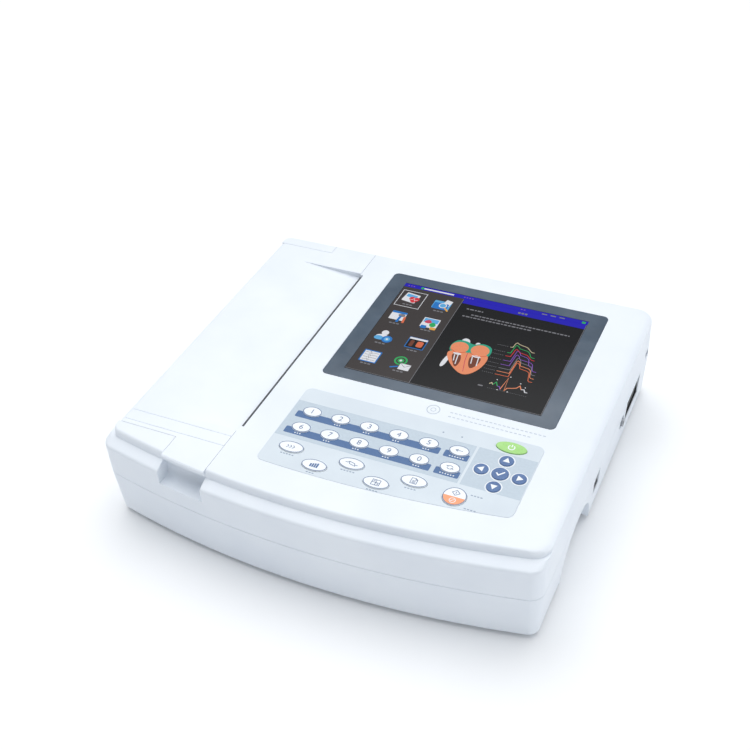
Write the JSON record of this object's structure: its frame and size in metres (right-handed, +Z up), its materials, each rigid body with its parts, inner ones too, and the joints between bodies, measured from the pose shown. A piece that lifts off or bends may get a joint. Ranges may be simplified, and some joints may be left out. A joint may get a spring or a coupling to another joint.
{
  "type": "electrocardiograph machine",
  "caption": "Low desktop electrocardiograph with a bowed front, tilting printer lid over a paper bay, flat display window, membrane-style keypad and side and rear sockets.",
  "frame": {"origin": "on the table, under the centre of the case's plan", "axes": "+X to the user's right, +Y to the back, +Z up"},
  "size_m": [0.3457, 0.309, 0.081],
  "materials": {
    "case_white": "fine satin texture",
    "lid_white": "fine satin texture",
    "steel": "brushed",
    "platen_rubber": "matte",
    "gear_plastic": "semi-matte",
    "brass": "turned",
    "motor_steel": "satin",
    "frame_grey": "matte",
    "head_ceramic": "glazed",
    "heat_sink": "milled",
    "paper": "smooth paper",
    "core_plastic": "matte",
    "window_slate": "glossy, printed border",
    "lcd_black": "glossy",
    "sheet_metal": "plain sheet",
    "keypad_sheet": "fine matte film",
    "circuit_board": "solder mask",
    "battery_blue": "shrink film",
    "foot_rubber": "matte",
    "socket_black": "matte",
    "rocker_black": "glossy",
    "key_white": "satin, ringed",
    "key_green": "satin",
    "key_blue": "satin",
    "key_two_tone": "satin"
  },
  "bodies": {
    "case": {"base_case": "case_white", "top_case": "case_white", "lid_hinge_pins": "steel", "printer_frame": "frame_grey", "print_head": "head_ceramic", "head_bracket": "heat_sink", "head_springs": "steel", "stepper_motor": "motor_steel", "display_window": "window_slate", "lcd_panel": "lcd_black", "lcd_frame": "sheet_metal", "keypad_overlay": "keypad_sheet", "keypad_board": "circuit_board", "main_board": "circuit_board", "power_supply": "sheet_metal", "battery_pack": "battery_blue", "battery_door": "case_white", "feet": "foot_rubber", "case_screws": "steel", "patient_connector": "socket_black", "aux_jack": "steel", "usb_port": "sheet_metal", "lan_port": "socket_black", "mains_inlet": "socket_black", "equipotential_stud": "brass"},
    "lid": {"lid_panel": "lid_white", "lid_end_front": "lid_white", "lid_end_rear": "lid_white"},
    "platen": {"platen_roller": "platen_rubber", "platen_shaft": "steel", "platen_gear": "gear_plastic"},
    "idler": {"idler_gear": "gear_plastic"},
    "pinion": {"motor_pinion": "brass"},
    "roll": {"paper_roll": "paper", "paper_core": "core_plastic"},
    "rocker": {"power_rocker": "rocker_black"},
    "button_1": {"key_1": "key_white"},
    "button_2": {"key_2": "key_white"},
    "button_3": {"key_3": "key_white"},
    "button_4": {"key_4": "key_white"},
    "button_5": {"key_5": "key_white"},
    "button_6": {"key_6": "key_white"},
    "button_7": {"key_7": "key_white"},
    "button_8": {"key_8": "key_white"},
    "button_9": {"key_9": "key_white"},
    "button_0": {"key_0": "key_white"},
    "button_backspace": {"key_backspace": "key_white"},
    "button_shift": {"key_shift": "key_white"},
    "button_speed": {"key_speed": "key_white"},
    "button_gain": {"key_gain": "key_white"},
    "button_filter": {"key_filter": "key_white"},
    "button_mode": {"key_mode": "key_white"},
    "button_print": {"key_print": "key_white"},
    "button_start": {"key_start": "key_two_tone"},
    "button_power": {"key_power": "key_green"},
    "button_up": {"key_up": "key_blue"},
    "button_down": {"key_down": "key_blue"},
    "button_left": {"key_left": "key_blue"},
    "button_right": {"key_right": "key_blue"},
    "button_ok": {"key_ok": "key_blue"}
  },
  "joints": [
    {"name": "lid_hinge", "type": "hinge", "parent": "case", "child": "lid", "pos_m": [-0.1634, 0, 0.077], "axis": [0, -1, 0], "range_deg": [0, 85]},
    {"name": "platen_spin", "type": "hinge", "parent": "lid", "child": "platen", "pos_m": [-0.0865, 0, 0.0645], "axis": [0, 1, 0], "continuous": true},
    {"name": "idler_spin", "type": "hinge", "parent": "case", "child": "idler", "pos_m": [-0.09019, -0.10475, 0.0418], "axis": [0, 1, 0], "continuous": true},
    {"name": "pinion_spin", "type": "hinge", "parent": "case", "child": "pinion", "pos_m": [-0.06991, -0.10475, 0.03636], "axis": [0, 1, 0], "continuous": true},
    {"name": "paper_spin", "type": "hinge", "parent": "case", "child": "roll", "pos_m": [-0.128, 0, 0.038], "axis": [0, 1, 0], "continuous": true},
    {"name": "rocker_tip", "type": "hinge", "parent": "case", "child": "rocker", "pos_m": [0.123, 0.14, 0.022], "axis": [1, 0, 0], "range_deg": [0, 16]},
    {"name": "press_1", "type": "slide", "parent": "case", "child": "button_1", "axis": [0, 0, -1], "range_m": [0, 0.0006], "stiffness_N_per_m": 1500},
    {"name": "press_2", "type": "slide", "parent": "case", "child": "button_2", "axis": [0, 0, -1], "range_m": [0, 0.0006], "stiffness_N_per_m": 1500},
    {"name": "press_3", "type": "slide", "parent": "case", "child": "button_3", "axis": [0, 0, -1], "range_m": [0, 0.0006], "stiffness_N_per_m": 1500},
    {"name": "press_4", "type": "slide", "parent": "case", "child": "button_4", "axis": [0, 0, -1], "range_m": [0, 0.0006], "stiffness_N_per_m": 1500},
    {"name": "press_5", "type": "slide", "parent": "case", "child": "button_5", "axis": [0, 0, -1], "range_m": [0, 0.0006], "stiffness_N_per_m": 1500},
    {"name": "press_6", "type": "slide", "parent": "case", "child": "button_6", "axis": [0, 0, -1], "range_m": [0, 0.0006], "stiffness_N_per_m": 1500},
    {"name": "press_7", "type": "slide", "parent": "case", "child": "button_7", "axis": [0, 0, -1], "range_m": [0, 0.0006], "stiffness_N_per_m": 1500},
    {"name": "press_8", "type": "slide", "parent": "case", "child": "button_8", "axis": [0, 0, -1], "range_m": [0, 0.0006], "stiffness_N_per_m": 1500},
    {"name": "press_9", "type": "slide", "parent": "case", "child": "button_9", "axis": [0, 0, -1], "range_m": [0, 0.0006], "stiffness_N_per_m": 1500},
    {"name": "press_0", "type": "slide", "parent": "case", "child": "button_0", "axis": [0, 0, -1], "range_m": [0, 0.0006], "stiffness_N_per_m": 1500},
    {"name": "press_backspace", "type": "slide", "parent": "case", "child": "button_backspace", "axis": [0, 0, -1], "range_m": [0, 0.0006], "stiffness_N_per_m": 1500},
    {"name": "press_shift", "type": "slide", "parent": "case", "child": "button_shift", "axis": [0, 0, -1], "range_m": [0, 0.0006], "stiffness_N_per_m": 1500},
    {"name": "press_speed", "type": "slide", "parent": "case", "child": "button_speed", "axis": [0, 0, -1], "range_m": [0, 0.0006], "stiffness_N_per_m": 1500},
    {"name": "press_gain", "type": "slide", "parent": "case", "child": "button_gain", "axis": [0, 0, -1], "range_m": [0, 0.0006], "stiffness_N_per_m": 1500},
    {"name": "press_filter", "type": "slide", "parent": "case", "child": "button_filter", "axis": [0, 0, -1], "range_m": [0, 0.0006], "stiffness_N_per_m": 1500},
    {"name": "press_mode", "type": "slide", "parent": "case", "child": "button_mode", "axis": [0, 0, -1], "range_m": [0, 0.0006], "stiffness_N_per_m": 1500},
    {"name": "press_print", "type": "slide", "parent": "case", "child": "button_print", "axis": [0, 0, -1], "range_m": [0, 0.0006], "stiffness_N_per_m": 1500},
    {"name": "press_start", "type": "slide", "parent": "case", "child": "button_start", "axis": [0, 0, -1], "range_m": [0, 0.0006], "stiffness_N_per_m": 1500},
    {"name": "press_power", "type": "slide", "parent": "case", "child": "button_power", "axis": [0, 0, -1], "range_m": [0, 0.0006], "stiffness_N_per_m": 1500},
    {"name": "press_up", "type": "slide", "parent": "case", "child": "button_up", "axis": [0, 0, -1], "range_m": [0, 0.0006], "stiffness_N_per_m": 1500},
    {"name": "press_down", "type": "slide", "parent": "case", "child": "button_down", "axis": [0, 0, -1], "range_m": [0, 0.0006], "stiffness_N_per_m": 1500},
    {"name": "press_left", "type": "slide", "parent": "case", "child": "button_left", "axis": [0, 0, -1], "range_m": [0, 0.0006], "stiffness_N_per_m": 1500},
    {"name": "press_right", "type": "slide", "parent": "case", "child": "button_right", "axis": [0, 0, -1], "range_m": [0, 0.0006], "stiffness_N_per_m": 1500},
    {"name": "press_ok", "type": "slide", "parent": "case", "child": "button_ok", "axis": [0, 0, -1], "range_m": [0, 0.0006], "stiffness_N_per_m": 1500}
  ],
  "couplings": [
    {"joint": "idler_spin", "follows": "platen_spin", "ratio": -0.53333},
    {"joint": "pinion_spin", "follows": "platen_spin", "ratio": 1.3333}
  ]
}
